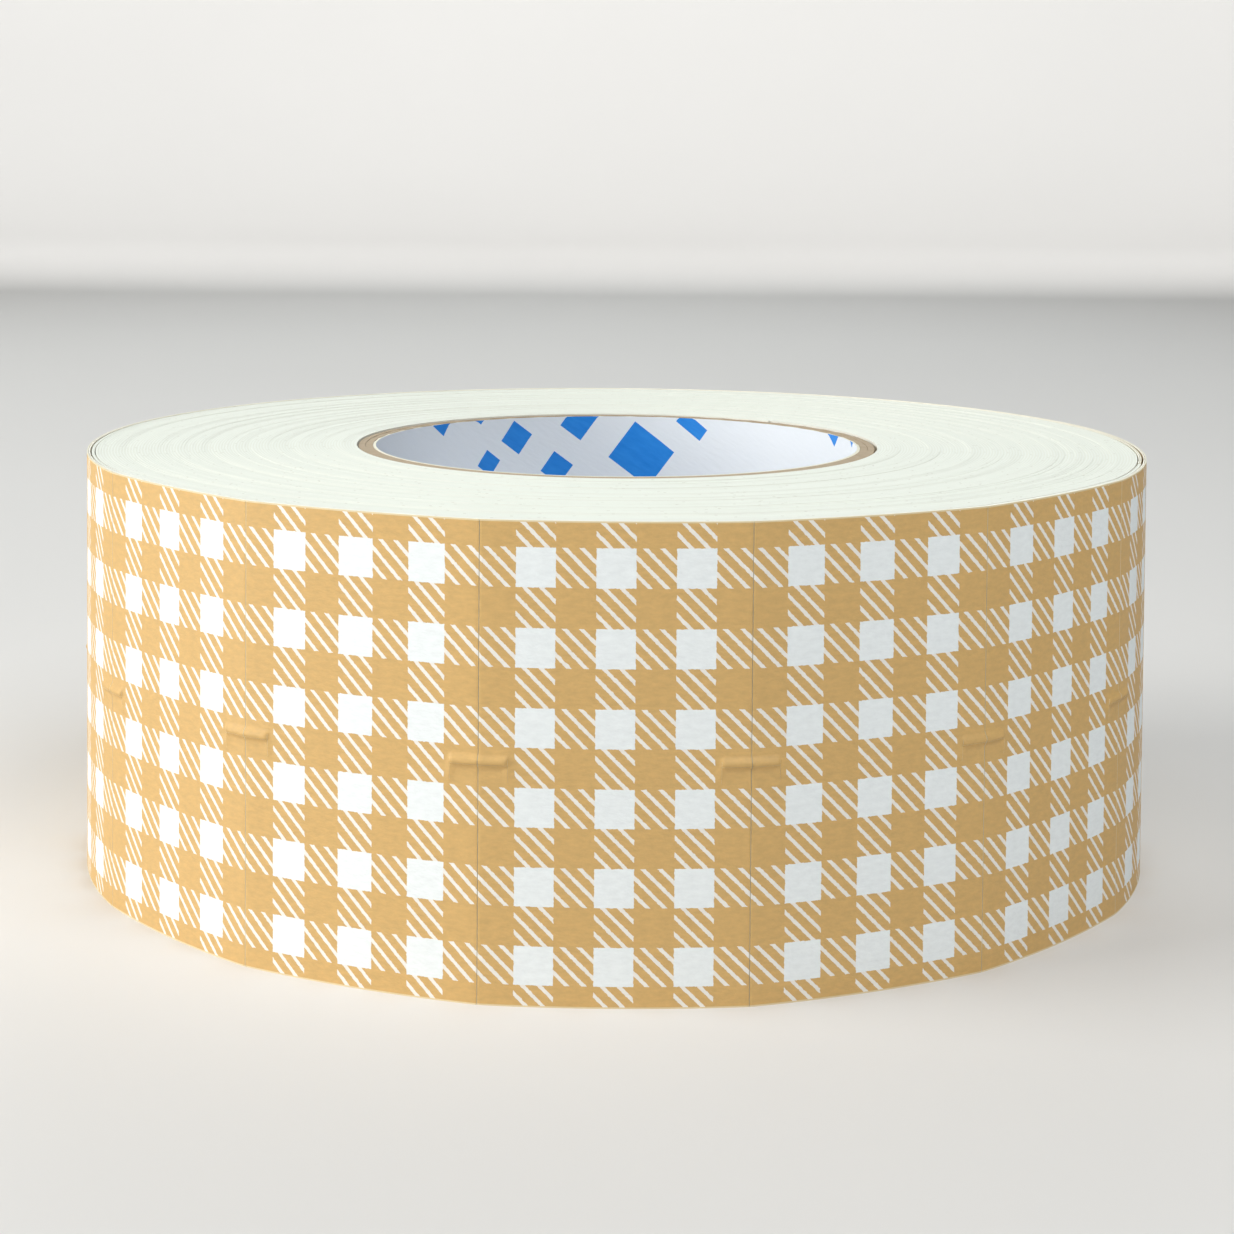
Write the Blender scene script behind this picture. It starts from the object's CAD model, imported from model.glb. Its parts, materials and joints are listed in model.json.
"""Looks for a roll of checked self-adhesive labels that lies on its side.

The web is the liner with its labels, wound as a spiral. A point on it is given by x, in
millimetres to the right as seen from outside, and v, in millimetres down from its upper edge.
x is 0 at the free end and negative before it. A place along the web is counted in labels from
the free end, so it is -x / PITCH, and the die cuts lie at whole numbers of it.
"""
import json
import math

import bpy
import numpy as np
from mathutils import Matrix, Vector


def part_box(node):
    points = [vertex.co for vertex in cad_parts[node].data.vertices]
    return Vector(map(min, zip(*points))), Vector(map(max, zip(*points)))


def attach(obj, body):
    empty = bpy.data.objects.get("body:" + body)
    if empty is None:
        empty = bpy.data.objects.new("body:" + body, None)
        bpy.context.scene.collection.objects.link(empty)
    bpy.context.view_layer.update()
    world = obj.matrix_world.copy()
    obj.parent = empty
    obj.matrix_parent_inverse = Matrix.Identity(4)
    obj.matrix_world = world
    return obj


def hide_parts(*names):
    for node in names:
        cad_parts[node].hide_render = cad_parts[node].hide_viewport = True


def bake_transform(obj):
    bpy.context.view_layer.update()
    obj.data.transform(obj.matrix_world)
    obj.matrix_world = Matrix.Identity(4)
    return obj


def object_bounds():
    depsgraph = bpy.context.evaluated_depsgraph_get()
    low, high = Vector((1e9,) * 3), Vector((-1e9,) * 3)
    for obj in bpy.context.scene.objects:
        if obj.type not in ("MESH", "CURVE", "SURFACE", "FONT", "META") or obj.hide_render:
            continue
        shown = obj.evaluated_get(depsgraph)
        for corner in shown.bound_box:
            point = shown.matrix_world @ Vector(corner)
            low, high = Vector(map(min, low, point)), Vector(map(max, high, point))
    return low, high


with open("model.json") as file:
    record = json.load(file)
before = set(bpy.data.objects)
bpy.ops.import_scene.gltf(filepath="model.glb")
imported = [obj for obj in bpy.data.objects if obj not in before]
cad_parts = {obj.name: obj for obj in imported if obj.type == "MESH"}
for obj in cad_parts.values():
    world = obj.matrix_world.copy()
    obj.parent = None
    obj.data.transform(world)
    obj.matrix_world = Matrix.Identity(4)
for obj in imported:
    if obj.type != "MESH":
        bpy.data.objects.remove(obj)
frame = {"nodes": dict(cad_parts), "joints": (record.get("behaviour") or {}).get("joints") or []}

MM = 0.001
cad_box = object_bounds()

# ---------------------------------------------------------------- sizes, in millimetres

LABEL_T = 0.07
GLUE_T = 0.02
LINER_T = 0.06
WEB_T = LABEL_T + GLUE_T + LINER_T
HINGE_DEPTH = WEB_T - LINER_T / 2       # the tail's folds turn about the liner's middle
LABELS = sum(name.startswith("label_") for name in frame["nodes"])
TAIL = sum(name.startswith("tail_liner_") for name in frame["nodes"])
COVERED = 14                            # labels after this one lie under the tail
OVERHANG = 4.0                          # leading label past the end of its liner
ROLL_W = (cad_box[1].z - cad_box[0].z) / MM


def hinge(name):
    """Direction in degrees and radius in millimetres of a joint's axis, from the roll's axis."""
    x, y, _ = next(joint["pos_m"] for joint in frame["joints"] if joint["name"] == name)
    return math.degrees(math.atan2(y, x)), math.hypot(x, y) / MM


FIRST_DEG, FIRST_R = hinge("unroll_1")
ROOT_DEG, ROOT_R = hinge(f"unroll_{TAIL}")
LABEL_DEG = (FIRST_DEG - ROOT_DEG) / (TAIL - 1)
LABEL_STEP_R = (FIRST_R - ROOT_R) / (TAIL - 1)
START_R = FIRST_R + HINGE_DEPTH + LABEL_STEP_R
PITCH = math.radians(LABEL_DEG) * START_R

# Widths of the die cuts. Those on the tail close as it straightens, so they start wider.
CUT_W = 0.03
TAIL_CUT_W = 0.09
ROOT_CUT_W = 0.14                       # where the tail leaves the roll
PRESS_DEPTH = 0.02                      # the die presses the label's edge down
PRESS_REACH = 0.16

# The H-shaped feed slit across each die cut, half way down the web.
SLIT_END = 1.32                         # from the die cut to the slit's end
SLIT_GAP = 0.008
END_CUT_UP = 0.25                       # reach of the cut at each end of the slit
END_CUT_DOWN = 0.75

# The ridges that the punch leaves: a crest along the slit, and one along each end's cut.
CREST_UP = 0.13                         # from the slit up to the crest
CREST_LIFT = 0.16
CREST_REACH = 0.38
CREST_FADE = 0.12                       # each side of the slit's end, where the crest ends
END_LIFT = 0.06
END_REACH = 0.3
END_MIDDLE = 0.3                        # from the slit down to the middle of the end's ridge
END_HALF = 0.65
PRESSED_LIFT = 0.3                      # share of them left on the tail and under it

# Paper kinks at the die cuts, so a label's middle lies inside the curve through its two cuts.
PLAIN_SAG = 0.02
FRONT_SAG = 0.25
FRONT_PLACES = (TAIL + 1, COVERED - 3)  # the flatter labels lie between these
OUTER_LIFT = 0.09                       # of the open part of the outer lap, off the spiral
SAG_FADE = 4                            # power by which the buried laps follow less and less
DROOP = 0.12                            # of the overhang, towards the lap under it

# The roll is this much larger in radius at its lower edge and smaller at its upper edge.
WIDENING = 0.17
BACK_SINES = (-0.1, 0.35)               # of the directions between which that fades away

PEEL_BEND = (0.0, 1.8)                  # the stretch of the leading label that bends as it peels
FOLD_BEND = (-0.4, 0.4)                 # the stretch of liner that bends at a fold of the tail

# The wound pack under the outer lap.
PACK_STEPS = 160                        # sections a turn
PACK_PITCH = WEB_T                      # tight laps touch
LOOSE_PITCH = 0.23                      # the outermost lap has air under it
PACK_CLEARANCE = 0.02                   # from the core
LAP_SKIN = 0.004                        # gap between two laps, so that they don't merge
EDGE_CROWN = 0.003                      # of the web's cut edge, at the middle of its thickness
EDGE_INSET = 0.02                       # of the web's edge from the roll's flat face, on average
INSET_RANGE = (-0.02, 0.04)             # of what unevenness adds to it
LAP_SHIFT = 0.003                       # uneven winding, from one short stretch to the next
SHIFTS_A_TURN = 5
WANDER = 0.006                          # uneven winding, over several turns
WANDER_RATES = (0.21, 0.47, 0.9)        # radians a turn

# The core: three plies, each a strip wound on a helix.
PLY_T = {"core_inner_ply": 0.15, "core_middle_ply": 0.36, "core_outer_ply": 0.36}
SEAM_DEG = {"core_inner_ply": 145, "core_middle_ply": 190, "core_outer_ply": 310}
SEAM_GAP = 0.03
HELIX_LEAD = 60.0                       # rise of a strip, a turn
CORE_RECESS = 0.07                      # of the plies' ends, inside the roll's flat faces
END_WEAR = 0.03
WEAR_WAVES = 23                         # round a ply's end
CORE_STEPS = 180                        # of the grid round a ply
PLY_ROWS = (0, 0.15, 0.4)               # the first ones, at a ply's upper end
PLY_ROW_STEP = 1.0

# ---------------------------------------------------------------- the spiral of the web


def web_deg(place):
    return ROOT_DEG + (TAIL - place) * LABEL_DEG


def web_r(place):
    return START_R - LABEL_STEP_R * place


def cut_w(place):
    """Width of the die cut at a whole place."""
    if place == TAIL:
        return ROOT_CUT_W
    return TAIL_CUT_W if place < TAIL else CUT_W


def from_cut(x):
    """Distance to the nearest die cut."""
    return np.abs(x - np.round(x / PITCH) * PITCH)


def bump(distance, reach):
    """1 at no distance, and smoothly down to 0 at the reach."""
    return (1 + np.cos(math.pi * np.clip(np.abs(distance) / reach, 0, 1))) / 2


def smooth_step(value, low, high):
    share = np.clip((value - low) / (high - low), 0, 1)
    return share * share * (3 - 2 * share)


def sag(place):
    """How far the web lies inside the spiral: in at a label's middle, out on the open outer lap."""
    share = place - np.floor(place)
    at_front = (place > FRONT_PLACES[0]) & (place < FRONT_PLACES[1])
    lift = OUTER_LIFT * np.clip(place - TAIL, 0, 1) * np.clip(COVERED + 1 - place, 0, 1)
    return np.where(at_front, FRONT_SAG, PLAIN_SAG) * 4 * share * (1 - share) - lift


def slit_lift(x, v):
    """How far the punched slit pushes the paper out: a ridge along it, and one at each end."""
    reach, down = from_cut(x), v - ROLL_W / 2
    crest = CREST_LIFT * bump(down + CREST_UP, CREST_REACH)
    crest = crest * (1 - smooth_step(reach, SLIT_END - CREST_FADE, SLIT_END + CREST_FADE))
    ends = END_LIFT * bump(reach - SLIT_END, END_REACH) * bump(down - END_MIDDLE, END_HALF)
    on_outer_lap = (x < -(TAIL + 0.5) * PITCH) & (x > -COVERED * PITCH)
    return np.maximum(crest, ends) * np.where(on_outer_lap, 1.0, PRESSED_LIFT)


def widening(angle, v):
    """The roll is a little wider at its lower edge, except round the back, under the tail."""
    return WIDENING * (2 * v / ROLL_W - 1) * (1 - smooth_step(np.sin(angle), *BACK_SINES))


def in_slit(x, v):
    reach, down = from_cut(x), v - ROLL_W / 2
    bar = (reach < SLIT_END) & (np.abs(down) < SLIT_GAP / 2)
    end = (np.abs(reach - SLIT_END) < SLIT_GAP / 2) & (down > -END_CUT_UP) & (down < END_CUT_DOWN)
    return bar | end


def nowhere(x, v):
    return np.zeros(x.shape, bool)


def web_point(x, v, depth):
    """The point at a depth under the printed face."""
    place = -x / PITCH
    angle = np.radians(web_deg(place))
    r = web_r(place) - sag(place) - depth + slit_lift(x, v) + widening(angle, v)
    return np.stack([r * np.cos(angle), r * np.sin(angle), ROLL_W - v], axis=-1)


def liner_point(x, v, depth):
    return web_point(x, v, LABEL_T + GLUE_T + depth)


def label_point(x, v, depth):
    """A label's outer face is pressed down at its die cuts."""
    pressed = PRESS_DEPTH * np.clip(1 - from_cut(x) / PRESS_REACH, 0, 1) ** 2
    return web_point(x, v, depth + pressed * (depth == 0))


def drooping_point(x, v, depth):
    """The leading label: its overhang hangs in towards the lap under it."""
    past_liner = np.clip(1 + x / OVERHANG, 0, 1)
    return web_point(x, v, depth + DROOP * past_liner ** 2)


# ---------------------------------------------------------------- meshes

SHARP_DEG = 40                          # edges that turn more than this are sharp

# The grids are close together round the slits, and have these steps elsewhere.
ROW_STEP = 1.5
LABEL_COLUMN_STEP = 0.9
LINER_COLUMN_STEP = 1.3
CREST_ROWS = 13
END_ROWS = (0.4, 0.55)                  # through the ridge of the slit's end, below the slit
PRESS_COLUMNS = (0, 0.25, 0.5, 0.75, 1)     # shares of the pressed stretch
CREST_COLUMN = 0.6                      # from the die cut, half way along the crest
END_COLUMNS = (0.04, 0.12, 0.2, 0.3)    # each side of the slit's end


def spaced(start, stop, step):
    return np.linspace(start, stop, max(2, math.ceil((stop - start) / step) + 1))


def joined(*lists):
    return np.unique(np.concatenate(lists).round(5))


def between(values):
    return (values[:-1] + values[1:]) / 2


def add_mesh(name, points, faces, kinds, uv, materials):
    """A smooth mesh with sharp edges where it turns sharply. Unused points are left out."""
    used, faces = np.unique(faces, return_inverse=True)
    faces = faces.reshape(-1, 4)
    mesh = bpy.data.meshes.new(name)
    mesh.from_pydata((points[used] * MM).tolist(), [], faces.tolist())
    mesh.polygons.foreach_set("material_index", kinds.astype(np.int32))
    for material in materials:
        mesh.materials.append(material)
    layer = mesh.uv_layers.new(name="web")
    layer.data.foreach_set("uv", uv[used][faces.reshape(-1)].astype(np.float32).reshape(-1))
    mesh.shade_smooth()
    mesh.set_sharp_from_angle(angle=math.radians(SHARP_DEG))
    piece = bpy.data.objects.new(name, mesh)
    bpy.context.scene.collection.objects.link(piece)
    return piece


def sheet(name, along, down, point, thickness, materials, slit=in_slit):
    """A thin solid over a grid: its outer face, inner face and edges take the three materials."""
    x, v = np.meshgrid(along, down, indexing="ij")
    points = np.concatenate([point(x, v, d).reshape(-1, 3) for d in (0, thickness)])
    uv = np.stack([x, v], axis=-1).reshape(-1, 2)
    index = np.arange(x.size).reshape(x.shape)
    corners = np.stack([index[:-1, :-1], index[:-1, 1:], index[1:, 1:], index[1:, :-1]], axis=-1)
    kept = ~slit(*np.meshgrid(between(along), between(down), indexing="ij"))
    outer = corners[kept]
    framed = np.pad(kept, 1)
    beyond = (framed[:-2, 1:-1], framed[1:-1, 2:], framed[2:, 1:-1], framed[1:-1, :-2])
    walls = []
    for side, neighbour in enumerate(beyond):
        edge = corners[kept & ~neighbour]
        a, b = edge[:, side], edge[:, (side + 1) % 4]
        walls.append(np.stack([b, a, a + x.size, b + x.size], axis=-1))
    walls = np.concatenate(walls)
    faces = np.concatenate([outer, outer[:, ::-1] + x.size, walls])
    kinds = np.repeat([0, 1, 2], [len(outer), len(outer), len(walls)])
    return add_mesh(name, points, faces, kinds, np.concatenate([uv, uv]), materials)


def slit_rows():
    """Rows of the grid down the web, close together round the slit."""
    middle, gap = ROLL_W / 2, SLIT_GAP / 2
    crest = middle - CREST_UP + CREST_REACH * np.linspace(-1, 1, CREST_ROWS)
    ends = middle + np.array([-END_CUT_UP, -gap, gap, *END_ROWS, END_CUT_DOWN])
    above = spaced(0, crest[0], ROW_STEP)
    below = spaced(middle + END_MIDDLE + END_HALF, ROLL_W, ROW_STEP)
    return joined(above, crest, ends, below, [EDGE_MARGIN, ROLL_W - EDGE_MARGIN])


def trimmed(columns, start, stop):
    """The columns between a start and a stop, and those two."""
    return joined([start, stop], columns[(columns > start) & (columns < stop)])


def label_columns(start, stop, step=LABEL_COLUMN_STEP):
    """Columns of the grid along one label, close together near the slits at its ends."""
    pressed = PRESS_REACH * np.array(PRESS_COLUMNS)
    from_end = np.array([SLIT_GAP / 2, *END_COLUMNS])
    near = joined(pressed, [CREST_COLUMN], SLIT_END - from_end, SLIT_END + from_end)
    middle = spaced(near[-1], PITCH - near[-1], step)
    return trimmed(joined(near, middle, PITCH - near), start, stop)


def liner_columns(start, stop):
    """Columns of the grid along a stretch of liner."""
    labels = range(math.floor(start / PITCH), math.ceil(stop / PITCH))
    columns = [label_columns(0, PITCH, LINER_COLUMN_STEP) + n * PITCH for n in labels]
    return trimmed(np.concatenate(columns), start, stop)


# ---------------------------------------------------------------- shader arithmetic


class Num:
    """A number in a shader: arithmetic on it adds Math nodes."""

    def __init__(self, tree, socket):
        self.tree, self.socket = tree, socket

    def math(self, operation, *others):
        node = self.tree.nodes.new("ShaderNodeMath")
        node.operation = operation
        fill_sockets(self.tree, node.inputs, (self, *others))
        return Num(self.tree, node.outputs[0])

    def __add__(self, other):
        return self.math("ADD", other)

    def __sub__(self, other):
        return self.math("SUBTRACT", other)

    def __mul__(self, other):
        return self.math("MULTIPLY", other)

    def over(self, other):
        return self.math("GREATER_THAN", other)

    def under(self, other):
        return self.math("LESS_THAN", other)

    def part(self, pitch):
        """Where it lies in a repeat, from 0 to 1."""
        return (self * (1 / pitch)).math("FRACT")

    def flip(self):
        return (self * -1.0) + 1.0


def fill_sockets(tree, sockets, values):
    """Each value is a number, or a Num that is linked."""
    for socket, value in zip(sockets, values):
        if isinstance(value, Num):
            tree.links.new(value.socket, socket)
        else:
            socket.default_value = value


class Look:
    """A procedural material on a Principled shader, with its tree's common parts."""

    def __init__(self, name, **constants):
        self.material = bpy.data.materials.new(name)
        self.material.use_nodes = True
        self.tree = self.material.node_tree
        self.shader = self.tree.nodes["Principled BSDF"]
        for socket, value in constants.items():
            self.shader.inputs[socket.replace("_", " ")].default_value = value

    def split(self, vector):
        """The first two numbers of a vector."""
        node = self.tree.nodes.new("ShaderNodeSeparateXYZ")
        self.tree.links.new(vector, node.inputs[0])
        return Num(self.tree, node.outputs[0]), Num(self.tree, node.outputs[1])

    def web(self):
        """The point on the web: x and v in millimetres."""
        uv = self.tree.nodes.new("ShaderNodeUVMap")
        uv.uv_map = "web"
        return self.split(uv.outputs["UV"])

    def noise(self, x, y, z=0.0, detail=3.0, roughness=0.55):
        """Smooth noise from about 0 to 1, at a point given in units of its own grain."""
        point = self.tree.nodes.new("ShaderNodeCombineXYZ")
        fill_sockets(self.tree, point.inputs, (x, y, z))
        noise = self.tree.nodes.new("ShaderNodeTexNoise")
        noise.inputs["Scale"].default_value = 1.0
        noise.inputs["Detail"].default_value = detail
        noise.inputs["Roughness"].default_value = roughness
        self.tree.links.new(point.outputs[0], noise.inputs["Vector"])
        return Num(self.tree, noise.outputs["Fac"])

    def mix(self, share, low, high):
        """A colour between two, each a tuple or an earlier mix."""
        node = self.tree.nodes.new("ShaderNodeMix")
        node.data_type = "RGBA"
        self.tree.links.new(share.socket, node.inputs["Factor"])
        for slot, colour in (("A", low), ("B", high)):
            target = next(s for s in node.inputs if s.name == slot and s.type == "RGBA")
            if isinstance(colour, tuple):
                target.default_value = (*colour, 1)
            else:
                self.tree.links.new(colour, target)
        return next(s for s in node.outputs if s.type == "RGBA")

    def colour(self, socket):
        self.tree.links.new(socket, self.shader.inputs["Base Color"])

    def rough(self, number):
        self.tree.links.new(number.socket, self.shader.inputs["Roughness"])

    def bump(self, height, depth):
        """Relief from a height of 0 to 1, as deep as a length in millimetres."""
        node = self.tree.nodes.new("ShaderNodeBump")
        node.inputs["Distance"].default_value = depth * MM
        self.tree.links.new(height.socket, node.inputs["Height"])
        self.tree.links.new(node.outputs[0], self.shader.inputs["Normal"])


# ---------------------------------------------------------------- materials

WHITE_PAPER = (0.86, 0.90, 0.91)
TAN_INK = (0.650, 0.413, 0.151)
HATCH_PAPER = (0.88, 0.84, 0.78)
CREAM_EDGE = (0.87, 0.84, 0.68)
WORN_INK = (0.76, 0.62, 0.38)

# The printed check: tan bands and white bands both ways, in millimetres.
CHECK_PITCH = 3.52
CHECK_W = 1.75                          # of a white band
FIRST_COLUMN = 1.61                     # from the die cut to the first white band
FIRST_ROW = 1.16                        # from the upper edge to the first white band
WIDE_BAND_SHIFT = 1.44                  # a band over a die cut starts in the label before
HATCH_PITCH = 0.755
HATCH_LINE = 0.24
INK_WANDER = 0.09                       # of the ink's edges, in all
EDGE_MARGIN = 0.07                      # thin ink along the web's edges

NICK_W = 0.14                           # of a die cut, seen in the edges of the buried laps

# The print inside the core: plain marks in rows along its strip, in millimetres.
BLUE_MARK = (0.0, 0.18, 0.66)
PALE_MARK = (0.03, 0.30, 0.82)
CORE_WHITE = (0.82, 0.85, 0.88)
CORE_WHITE_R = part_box("core_inner_ply")[1].x / MM
CORE_PRINT_PITCH = 16.03                # the rows repeat across the strip
CORE_PRINT_START = 33.6                 # from the seam, round the core
# Each row's place across the strip and its height; its pitch, first place and length along it.
CORE_ROWS = {
    "blocks": (11.1, 2.6, 12.0, 2.5, 2.9),
    "bars": (11.6, 2.3, 12.0, 11.1, 1.5),
    "squares": (15.3, 1.4, 3.1, 1.7, 1.4),
    "small_squares": (1.6, 1.1, 4.3, 0.6, 1.1),
    "dashes": (8.8, 0.8, 6.0, 4.4, 1.8),
}


def shaded(colour, share):
    """A colour's darker and lighter neighbours."""
    return tuple(c * (1 - share) for c in colour), tuple(min(c * (1 + share), 1) for c in colour)


def ink_point(look, x, v):
    """The point on the web, with a little wander that roughens the ink's edges."""
    wander_x = (look.noise(x * 6.0, v * 6.0, 1.0) - 0.5) * INK_WANDER
    wander_v = (look.noise(x * 6.0, v * 6.0, 5.0) - 0.5) * INK_WANDER
    return x + wander_x, v + wander_v


def check_bands(x, v):
    u = x.part(PITCH) * PITCH
    column = (u - FIRST_COLUMN).part(CHECK_PITCH)
    row = (v - FIRST_ROW).part(CHECK_PITCH)
    white_share = CHECK_W / CHECK_PITCH
    white_column, white_row = column.under(white_share), row.under(white_share)
    left = (column - white_column.flip() * white_share) * CHECK_PITCH
    left = left + u.under(FIRST_COLUMN) * WIDE_BAND_SHIFT
    top = (row - white_row.flip() * white_share) * CHECK_PITCH
    off_line = ((top - left).part(HATCH_PITCH) - 0.5).math("ABSOLUTE")
    on_line = off_line.under(HATCH_LINE / 2 / HATCH_PITCH)
    mixed = (white_column - white_row).math("ABSOLUTE")
    return white_column * white_row, mixed * on_line


def check_print():
    """Label paper with a tan check, hatched where a tan band crosses a white one."""
    look = Look("check_print")
    x, v = look.web()
    plain, hatching = check_bands(*ink_point(look, x, v))
    edge = v.under(EDGE_MARGIN).math("MAXIMUM", v.over(ROLL_W - EDGE_MARGIN))
    grain = look.noise(x * 1.9, v * 4.2, detail=4.0, roughness=0.65)
    tan = look.mix(grain, *shaded(TAN_INK, 0.2))
    lines = look.mix(grain, *shaded(HATCH_PAPER, 0.1))
    white = look.mix(grain, *shaded(WHITE_PAPER, 0.11))
    check = look.mix(plain, look.mix(hatching, tan, lines), white)
    look.colour(look.mix(edge, check, WORN_INK))
    look.rough(grain * 0.3 + 0.45)
    look.bump(look.noise(x * 5.0, v * 9.0) * 0.5 + grain, 0.02)
    return look.material


def paper_edge():
    """Cut edge of the label paper."""
    look = Look("paper_edge", Roughness=0.8)
    x, v = look.web()
    fibre = look.noise(x * 6.0, v * 6.0)
    look.colour(look.mix(fibre, tuple(c * 0.93 for c in CREAM_EDGE), CREAM_EDGE))
    look.bump(fibre, 0.01)
    return look.material


def sticky_back():
    """Back of a label, under its glue film."""
    look = Look("sticky_back", Coat_Weight=0.4, Coat_Roughness=0.25)
    x, v = look.web()
    streak = look.noise(x * 0.4, v * 3.0)
    look.colour(look.mix(streak, (0.78, 0.77, 0.69), (0.86, 0.85, 0.78)))
    look.rough(streak * 0.25 + 0.2)
    look.bump(streak, 0.008)
    return look.material


def glassine():
    """Smooth release paper."""
    look = Look("glassine", Coat_Weight=0.25, Coat_Roughness=0.3)
    x, v = look.web()
    cloud = look.noise(x * 0.35, v * 0.35, detail=5.0)
    look.colour(look.mix(cloud, (0.80, 0.75, 0.58), (0.90, 0.87, 0.74)))
    look.rough(cloud * 0.2 + 0.28)
    look.bump(look.noise(x * 2.0, v * 2.0), 0.006)
    return look.material


def web_sides():
    """Outer and inner faces of the buried web."""
    look = Look("web_sides", Roughness=0.7)
    x, v = look.web()
    fibre = look.noise(x * 0.5, v * 0.5)
    look.colour(look.mix(fibre, (0.84, 0.83, 0.74), (0.90, 0.89, 0.82)))
    return look.material


def lap_edges():
    """Edge of the buried web: label, glue and liner, with a nick at each die cut."""
    look = Look("lap_edges", Roughness=0.75, Specular_IOR_Level=0.3)
    x, depth = look.web()
    lap_tone = look.noise(x * 0.035, 3.0, detail=4.0)
    fibre = look.noise(x * 1.6, depth * 12.0)
    label = look.mix(lap_tone, (0.82, 0.86, 0.78), (0.87, 0.905, 0.825))
    liner = look.mix(lap_tone, (0.78, 0.81, 0.71), (0.83, 0.86, 0.77))
    layers = look.mix(depth.over(LABEL_T), label, liner)
    nick = x.part(PITCH).under(NICK_W / PITCH) * depth.under(LABEL_T + GLUE_T)
    look.colour(look.mix(nick * fibre, layers, (0.52, 0.50, 0.41)))
    look.bump(fibre, 0.01)
    return look.material


def repeated(number, pitch, start, length):
    """1 inside a stretch that repeats, and 0 outside it."""
    return (number - start).part(pitch).under(length / pitch)


def core_paper():
    """White paper inside the core, with plain blue marks printed along its helix."""
    look = Look("core_paper", Specular_IOR_Level=0.4)
    x, v = look.web()
    x = x + CORE_PRINT_START
    slope = math.atan2(HELIX_LEAD, math.tau * CORE_WHITE_R)
    across = x * math.sin(slope)
    along = v * (1 / math.sin(slope)) - x * math.cos(slope)
    rows = []
    for place, height, pitch, start, length in CORE_ROWS.values():
        row = repeated(across, CORE_PRINT_PITCH, place, height)
        rows.append(row * repeated(along, pitch, start, length))
    marks = sum(rows[1:], rows[0])
    worn = look.noise(x * 1.5, v * 1.5, detail=5.0)
    look.colour(look.mix(marks, CORE_WHITE, look.mix(worn, BLUE_MARK, PALE_MARK)))
    look.rough(worn * 0.2 + 0.4)
    look.bump(look.noise(x * 2.0, v * 2.0), 0.02)
    return look.material


def kraft():
    """Brown core board."""
    look = Look("kraft", Roughness=0.85)
    x, v = look.web()
    fibre = look.noise(x * 1.2, v * 5.0, detail=5.0, roughness=0.65)
    look.colour(look.mix(fibre, (0.34, 0.25, 0.15), (0.56, 0.45, 0.31)))
    look.bump(fibre, 0.03)
    return look.material


def studio_floor():
    """The studio's plain pale floor, with faint clouds about 0.1 m across."""
    look = Look("studio_floor", Roughness=0.9, Specular_IOR_Level=0.2)
    x, y = look.split(look.tree.nodes.new("ShaderNodeTexCoord").outputs["Object"])
    cloud = look.noise(x * 9.0, y * 9.0, detail=2.0)
    look.colour(look.mix(cloud, (0.74, 0.73, 0.71), (0.77, 0.76, 0.74)))
    return look.material


# ---------------------------------------------------------------- the object's pieces


def finish_piece(piece, slot, *nodes):
    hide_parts(*nodes)


def ride_on(piece, body, slot, *nodes):
    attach(piece, body)
    finish_piece(piece, slot, *nodes)


def bend_at(piece, place, reach, slot, node):
    """The piece bends over a short stretch of the web: reach in millimetres each side of a place."""
    x = -place * PITCH
    start, end = (web_point(np.float64(x + step), 0.0, HINGE_DEPTH) for step in reach)
    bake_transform(piece)
    finish_piece(piece, slot, node)


def make_labels(materials):
    """The printed labels. The first peels off the tail, and the tail's others ride on it."""
    rows = slit_rows()
    for n in range(1, LABELS + 1):
        point = drooping_point if n == 1 else label_point
        along = label_columns(cut_w(n) / 2, PITCH - cut_w(n - 1) / 2) - n * PITCH
        label = sheet(f"printed_label_{n:02d}", along, rows, point, LABEL_T, materials)
        node = f"label_{n:02d}"
        if n == 1:
            bend_at(label, 1, PEEL_BEND, "label_print", node)
        else:
            body = f"tail_{n}" if n <= TAIL else "root"
            ride_on(label, body, "label_print", node)


def make_tail_liner(paper):
    """The tail's liner, cut at the middle of each label so that each piece has one fold."""
    rows = slit_rows()
    for n in range(1, TAIL + 1):
        start = -(n + 0.5) * PITCH
        stop = -OVERHANG if n == 1 else -(n - 0.5) * PITCH
        along = liner_columns(start, stop)
        piece = sheet(f"folding_liner_{n}", along, rows, liner_point, LINER_T, (paper,) * 3)
        bend_at(piece, n, FOLD_BEND, "liner", f"tail_liner_{n}")


def make_outer_liner(paper):
    """The liner from the tail to the last label, in one strip."""
    along = liner_columns(-LABELS * PITCH, -(TAIL + 0.5) * PITCH)
    piece = sheet("outer_liner", along, slit_rows(), liner_point, LINER_T, (paper,) * 3)
    ride_on(piece, "root", "liner", "outer_lap_liner")


def smooth_steps(values, knots):
    """Values at evenly spaced knots, joined by smooth steps."""
    at = np.minimum(knots, len(values) - 1.001)
    low = at.astype(int)
    share = smooth_step(at - low, 0, 1)
    return values[low] * (1 - share) + values[low + 1] * share


def pack_edge(turns, seed):
    """How far the web's edge lies inside the roll's flat face, along the pack."""
    draw = np.random.default_rng(seed)
    knots = turns * SHIFTS_A_TURN
    shifts = smooth_steps(draw.normal(0, LAP_SHIFT, int(knots[-1]) + 3), knots)
    starts = draw.uniform(0, math.tau, len(WANDER_RATES))
    wander = sum(WANDER * np.sin(turns * rate + start) for rate, start in zip(WANDER_RATES, starts))
    return EDGE_INSET + np.clip(shifts + wander, *INSET_RANGE)


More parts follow.
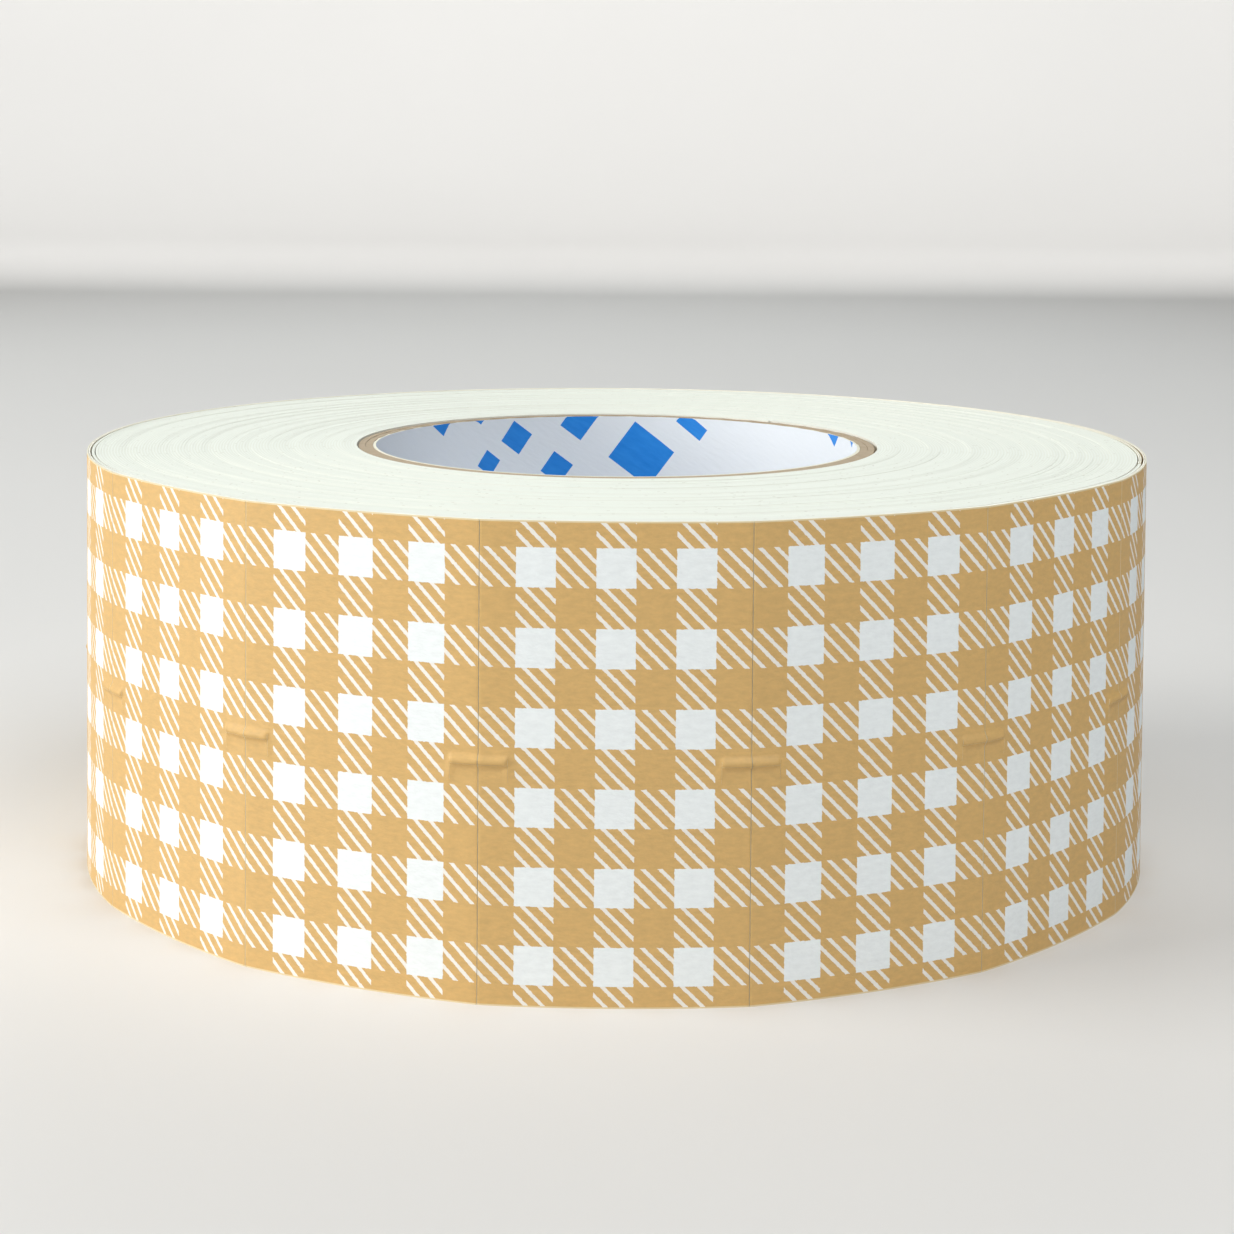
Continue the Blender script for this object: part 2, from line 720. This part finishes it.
def pack_section(turns):
    """The six corners of the web's section along the pack: each a depth and its heights."""
    top, bottom = ROLL_W - pack_edge(turns, 11), pack_edge(turns, 12)
    inner = WEB_T - LAP_SKIN
    upper = [(0, top - EDGE_CROWN), (WEB_T / 2, top), (inner, top - EDGE_CROWN)]
    lower = [(inner, bottom + EDGE_CROWN), (WEB_T / 2, bottom), (0, bottom + EDGE_CROWN)]
    return upper + lower


def pack_spiral():
    """Along the pack: turns, angle, radius of the web's outer face, and share of the way out."""
    core_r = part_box("core_outer_ply")[1].x / MM + PACK_CLEARANCE
    start_r = web_r(LABELS)
    loose = LOOSE_PITCH - PACK_PITCH
    laps = (start_r - loose - WEB_T - core_r) / PACK_PITCH
    turns = np.arange(int(laps * PACK_STEPS)) / PACK_STEPS
    angle = np.radians(web_deg(LABELS)) - math.tau * turns
    r = start_r - PACK_PITCH * turns - loose * np.minimum(turns, 1)
    return turns, angle, r, (r - core_r) / (start_r - core_r)


def strip_faces(points):
    """Faces of a strip with six corners a section, and 1 for those that aren't its cut edges."""
    index = np.arange(points.shape[0] * points.shape[1]).reshape(points.shape[:2])
    around = np.roll(index, -1, axis=1)
    sides = np.stack([index[:-1], index[1:], around[1:], around[:-1]], axis=-1).reshape(-1, 4)
    ends = (index[0], index[-1][::-1])
    caps = np.array([end[corners] for corners in ([0, 1, 4, 5], [1, 2, 3, 4]) for end in ends])
    kinds = np.concatenate([np.tile([0, 0, 1, 0, 0, 1], len(index) - 1), np.ones(len(caps))])
    return np.concatenate([sides, caps]), kinds


def make_wound_web(materials):
    """The buried web: one strip in about ninety laps, from the last label to the core."""
    turns, angle, r, share = pack_spiral()
    place_above = TAIL + (ROOT_DEG - np.degrees(angle)) % 360 / LABEL_DEG
    pressed_in = sag(place_above) * share ** SAG_FADE
    x = -LABELS * PITCH - np.concatenate([[0], np.cumsum(r[1:] * math.tau / PACK_STEPS)])
    rings, uv = [], []
    for depth, z in pack_section(turns):
        out = r - depth + share * widening(angle, ROLL_W - z) - pressed_in
        rings.append(np.stack([out * np.cos(angle), out * np.sin(angle), z], axis=-1))
        uv.append(np.stack([x, np.full(x.shape, depth)], axis=-1))
    points, uv = np.stack(rings, axis=1), np.stack(uv, axis=1)
    faces, kinds = strip_faces(points)
    points, uv = points.reshape(-1, 3), uv.reshape(-1, 2)
    piece = add_mesh("wound_web", points, faces, kinds, uv, materials)
    ride_on(piece, "root", "lap_edges", "wound_laps")


def make_core_ply(node, seam_deg, materials, slot):
    """One ply of the core: a strip wound on a helix, its edges meeting at a slanting seam."""
    thickness, outer_r = PLY_T[node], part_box(node)[1].x / MM
    shear = outer_r * math.tau / HELIX_LEAD

    def point(x, v, depth):
        angle = (x + (ROLL_W - v) * shear) / outer_r + math.radians(seam_deg)
        r = outer_r - depth
        wear = END_WEAR * np.abs(np.sin(angle * WEAR_WAVES)) * (1 - depth / thickness)
        z = np.clip(ROLL_W - v, CORE_RECESS + wear, ROLL_W - CORE_RECESS - wear)
        return np.stack([r * np.cos(angle), r * np.sin(angle), z], axis=-1)

    around = outer_r * math.tau
    along = spaced(SEAM_GAP / 2, around - SEAM_GAP / 2, around / CORE_STEPS)
    down = joined(PLY_ROWS, spaced(PLY_ROWS[-1], ROLL_W, PLY_ROW_STEP))
    piece = sheet(node.replace("_ply", "_paper"), along, down, point, thickness, materials, nowhere)
    ride_on(piece, "root", slot, node)


def make_core(edge):
    """The core: a white printed ply inside two brown ones."""
    brown, white = kraft(), core_paper()
    for node, seam in SEAM_DEG.items():
        if node == "core_inner_ply":
            make_core_ply(node, seam, (brown, white, edge), "core_white")
        else:
            make_core_ply(node, seam, (brown,) * 3, "core_brown")


# ---------------------------------------------------------------- studio, in mm and watts

CAMERA_PLACE = (-1.08, -140.7, 39.08)
CAMERA_PITCH, CAMERA_YAW, CAMERA_ROLL = 7.16, 0.45, 0.45
CAMERA_LENS, CAMERA_SHIFT = 78.1, -0.14
CAMERA_CLIP = (10, 20000)

FLOOR_HALF = 1500.0                     # half its width, and the height of its back wall
FLOOR_BACK = 900.0                      # from the roll to the wall
FLOOR_BEND = 260.0                      # radius of the bend up to the wall

LIGHT_REACH = 600                       # from the roll to each light on it
BACKDROP_PLACE = (0, 420, 260)
BACKDROP_SIZE = (1400, 250)
BACKDROP_POWER = 3.6
WORLD_COLOUR, WORLD_POWER = (0.94, 0.97, 1.0), 0.04


def make_camera():
    """A short telephoto look at the roll, from a little above it."""
    camera = bpy.data.objects.new("camera", bpy.data.cameras.new("camera"))
    camera.data.lens, camera.data.shift_y = CAMERA_LENS, CAMERA_SHIFT
    camera.data.clip_start, camera.data.clip_end = (reach * MM for reach in CAMERA_CLIP)
    tilt = Matrix.Rotation(math.radians(90 - CAMERA_PITCH), 4, "X")
    turn = Matrix.Rotation(math.radians(-CAMERA_YAW), 4, "Z")
    roll = Matrix.Rotation(math.radians(CAMERA_ROLL), 4, "Z")
    camera.matrix_world = Matrix.Translation(Vector(CAMERA_PLACE) * MM) @ turn @ tilt @ roll
    bpy.context.scene.collection.objects.link(camera)
    bpy.context.scene.camera = camera


def add_light(name, place, back, size, power, colour=(1, 1, 1), spread_deg=180.0):
    """A soft rectangular light at a place. It shines away from the direction of its back."""
    data = bpy.data.lights.new(name, "AREA")
    data.shape = "RECTANGLE"
    data.size, data.size_y = (side * MM for side in size)
    data.energy, data.color = power, colour
    data.spread = math.radians(spread_deg)
    lamp = bpy.data.objects.new(name, data)
    lamp.location = Vector(place) * MM
    lamp.rotation_euler = Vector(back).to_track_quat("Z", "Y").to_euler()
    bpy.context.scene.collection.objects.link(lamp)


def light_roll(name, side_deg, height_deg, power, colour, size=400, spread_deg=180.0):
    """A square light that faces the roll. Its side is counted from the camera to the left."""
    side, height = math.radians(side_deg), math.radians(height_deg)
    level = math.cos(height)
    out = Vector((-math.sin(side) * level, -math.cos(side) * level, math.sin(height)))
    place = out * LIGHT_REACH + Vector((0, 0, ROLL_W / 2))
    add_light(name, place, out, (size, size), power, colour, spread_deg)


def make_floor():
    """A pale floor that curves up to a wall behind the roll."""
    flat_end = FLOOR_BACK - FLOOR_BEND
    profile = [(-FLOOR_HALF, 0.0), (flat_end, 0.0)]
    for turn in np.radians(spaced(0, 90, 6))[1:]:
        profile.append((flat_end + FLOOR_BEND * math.sin(turn), FLOOR_BEND * (1 - math.cos(turn))))
    profile.append((FLOOR_BACK, FLOOR_HALF))
    points = np.array([[x, y, z] for y, z in profile for x in (-FLOOR_HALF, FLOOR_HALF)])
    index = np.arange(len(points)).reshape(-1, 2)
    faces = np.stack([index[:-1, 0], index[:-1, 1], index[1:, 1], index[1:, 0]], axis=-1)
    kinds = np.zeros(len(faces))
    floor = add_mesh("floor", points, faces, kinds, points[:, :2], (studio_floor(),))


def make_lights():
    """A key light at the upper left, soft fills, and a light behind the roll on the backdrop."""
    light_roll("key_left", 80, 20, 3.6, (1.0, 0.99, 0.96))
    light_roll("high_front", 0, 50, 0.9, (1.0, 1.0, 1.0))
    light_roll("high_right", -36, 50, 1.82, (0.95, 0.98, 1.0))
    light_roll("low_back", 180, 24, 0.2, (0.93, 1.0, 1.03), size=260, spread_deg=90.0)
    light_roll("left_back", 120, 22, 0.07, (0.97, 1.0, 1.0), size=300, spread_deg=90.0)
    add_light("backdrop", BACKDROP_PLACE, (0, -1, 0), BACKDROP_SIZE, BACKDROP_POWER)


def make_world():
    """A faint even light from all round."""
    world = bpy.data.worlds.new("studio")
    world.use_nodes = True
    background = world.node_tree.nodes["Background"]
    background.inputs["Color"].default_value = (*WORLD_COLOUR, 1)
    background.inputs["Strength"].default_value = WORLD_POWER
    bpy.context.scene.world = world
    bpy.context.scene.view_settings.view_transform = "Standard"


# ---------------------------------------------------------------- build

make_camera()
make_floor()
make_lights()
make_world()
label_edge, liner_paper = paper_edge(), glassine()
make_labels((check_print(), sticky_back(), label_edge))
make_tail_liner(liner_paper)
make_outer_liner(liner_paper)
make_wound_web((lap_edges(), web_sides()))
make_core(label_edge)
